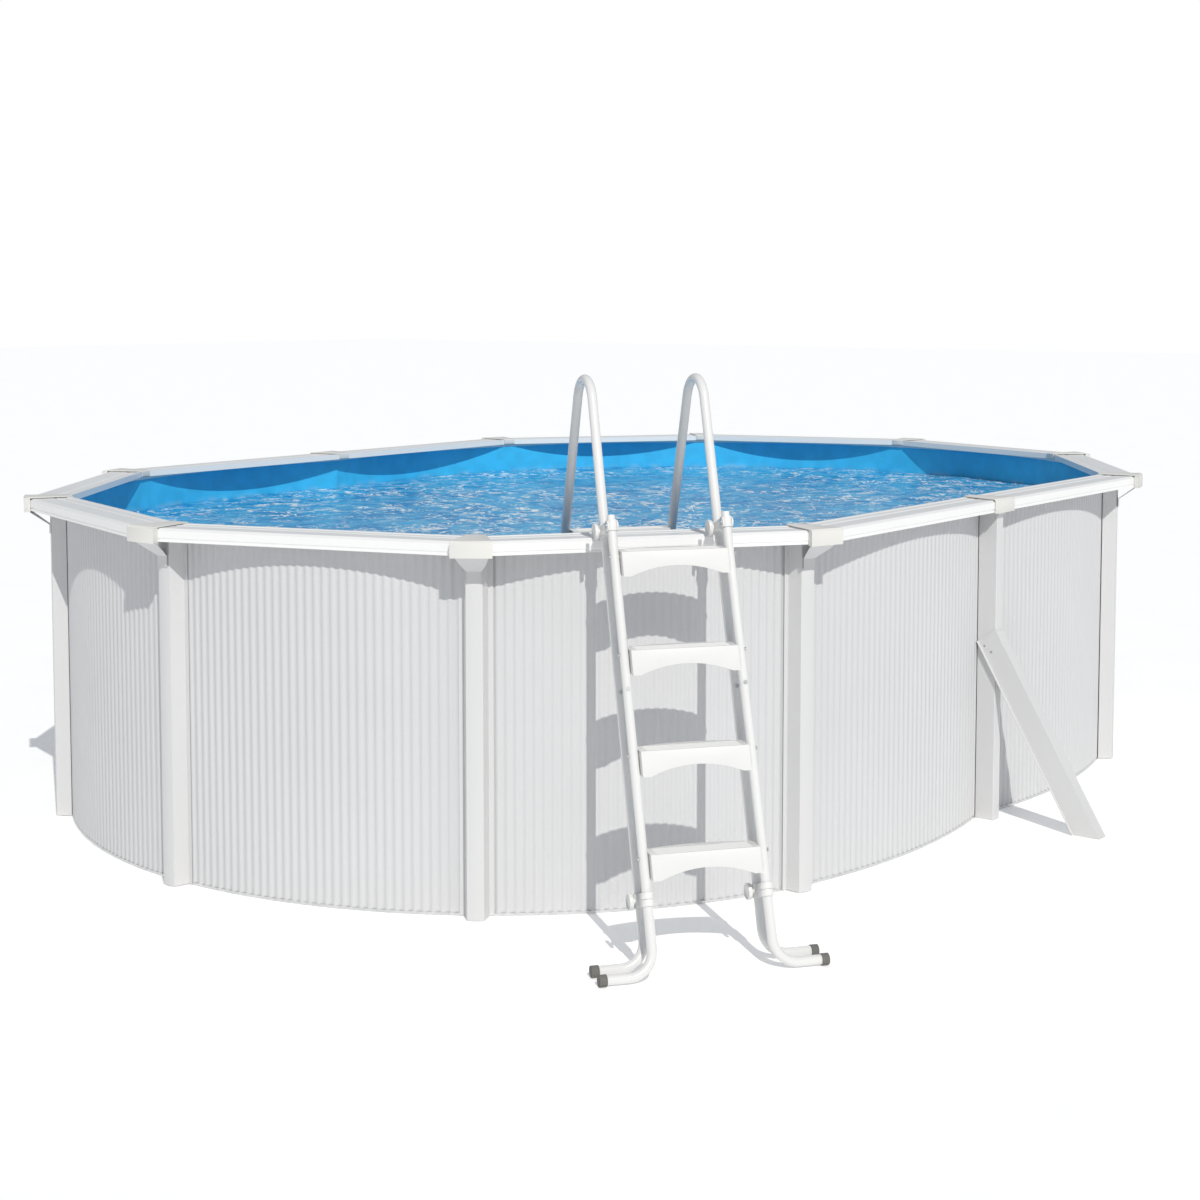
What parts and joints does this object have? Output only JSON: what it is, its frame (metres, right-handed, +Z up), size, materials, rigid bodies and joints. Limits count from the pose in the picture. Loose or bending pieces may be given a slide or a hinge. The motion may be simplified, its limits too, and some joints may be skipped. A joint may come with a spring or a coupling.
{
  "type": "above-ground pool with ladder",
  "caption": "Oval steel-wall above-ground pool with scalloped corrugated wall, flat top rails, waist braces, blue liner and a folding A-frame ladder.",
  "frame": {"origin": "on the ground at the middle of the pool", "axes": "+X along the pool's length, -Y is the front with the ladder, +Z up"},
  "size_m": [5.1496, 4.4366, 1.721],
  "materials": {
    "wall_steel": "white coated, corrugated",
    "track_steel": "bright galvanised",
    "rail_steel": "white coated",
    "upright_steel": "white coated",
    "cap_plastic": "warm white moulded",
    "liner_vinyl": "blue vinyl, satin",
    "clip_plastic": "white extruded",
    "felt": "grey needle felt",
    "bar_steel": "galvanised",
    "tube_steel": "white gloss coated tube",
    "step_plastic": "white moulded, textured tread",
    "bracket_plastic": "white moulded",
    "knob_plastic": "white moulded",
    "foot_rubber": "dark grey rubber",
    "screw_steel": "zinc plated"
  },
  "bodies": {
    "pool": {"bottom_track": "track_steel", "brace_back": "upright_steel", "brace_bolts": "screw_steel", "brace_foot_back": "upright_steel", "brace_foot_front": "upright_steel", "brace_front": "upright_steel", "coping_clip": "clip_plastic", "corner_caps": "cap_plastic", "foot_plates": "track_steel", "ground_felt": "felt", "liner": "liner_vinyl", "rail_brackets": "upright_steel", "top_rail_end_1": "rail_steel", "top_rail_end_2": "rail_steel", "top_rail_end_3": "rail_steel", "top_rail_end_4": "rail_steel", "top_rail_end_5": "rail_steel", "top_rail_end_6": "rail_steel", "top_rail_end_7": "rail_steel", "top_rail_end_8": "rail_steel", "top_rail_side_1": "rail_steel", "top_rail_side_2": "rail_steel", "top_rail_side_3": "rail_steel", "top_rail_side_4": "rail_steel", "uprights_far": "upright_steel", "uprights_near": "upright_steel", "waist_strap": "track_steel", "waist_upright_back": "upright_steel", "waist_upright_front": "upright_steel", "wall_joint_bar": "bar_steel", "wall_sheet": "wall_steel"},
    "ladder_frame": {"foot_caps": "foot_rubber", "frame_screws": "screw_steel", "front_feet": "tube_steel", "handrail_left": "tube_steel", "handrail_right": "tube_steel", "hinge_pins": "screw_steel", "inner_legs": "tube_steel", "inner_steps": "step_plastic", "latch_bracket_left": "bracket_plastic", "latch_bracket_right": "bracket_plastic", "outer_leg_left": "tube_steel", "outer_leg_right": "tube_steel", "pivot_bracket_left": "bracket_plastic", "pivot_bracket_right": "bracket_plastic"},
    "outer_flight": {"flight_screws": "screw_steel", "knuckles": "bracket_plastic", "latch_sleeves": "bracket_plastic", "outer_step_1": "step_plastic", "outer_step_2": "step_plastic", "outer_step_3": "step_plastic", "outer_step_4": "step_plastic", "stringer_lower_left": "tube_steel", "stringer_lower_right": "tube_steel", "stringer_upper_left": "tube_steel", "stringer_upper_right": "tube_steel"},
    "latch_knob_left": {"latch_knob_left": "knob_plastic"},
    "latch_knob_right": {"latch_knob_right": "knob_plastic"},
    "pivot_knob_left": {"pivot_knob_left": "knob_plastic"},
    "pivot_knob_right": {"pivot_knob_right": "knob_plastic"}
  },
  "joints": [
    {"name": "ladder_lift", "type": "slide", "parent": "pool", "child": "ladder_frame", "axis": [0, 0, 1], "range_m": [0, 1.3]},
    {"name": "flight_fold", "type": "hinge", "parent": "ladder_frame", "child": "outer_flight", "pos_m": [-1.82715, -1.59267, 1.27165], "axis": [-0.809, 0.5878, 0], "range_deg": [0, 175]},
    {"name": "latch_knob_left_turn", "type": "hinge", "parent": "ladder_frame", "child": "latch_knob_left", "pos_m": [-2.14997, -1.72226, 0.19442], "axis": [-0.809, 0.5878, 0], "continuous": true},
    {"name": "latch_knob_right_turn", "type": "hinge", "parent": "ladder_frame", "child": "latch_knob_right", "pos_m": [-1.85064, -1.93975, 0.19442], "axis": [-0.809, 0.5878, 0], "continuous": true},
    {"name": "pivot_knob_left_turn", "type": "hinge", "parent": "ladder_frame", "child": "pivot_knob_left", "pos_m": [-1.93354, -1.42438, 1.24587], "axis": [-0.809, 0.5878, 0], "continuous": true},
    {"name": "pivot_knob_right_turn", "type": "hinge", "parent": "ladder_frame", "child": "pivot_knob_right", "pos_m": [-1.63421, -1.64186, 1.24587], "axis": [-0.809, 0.5878, 0], "continuous": true}
  ]
}
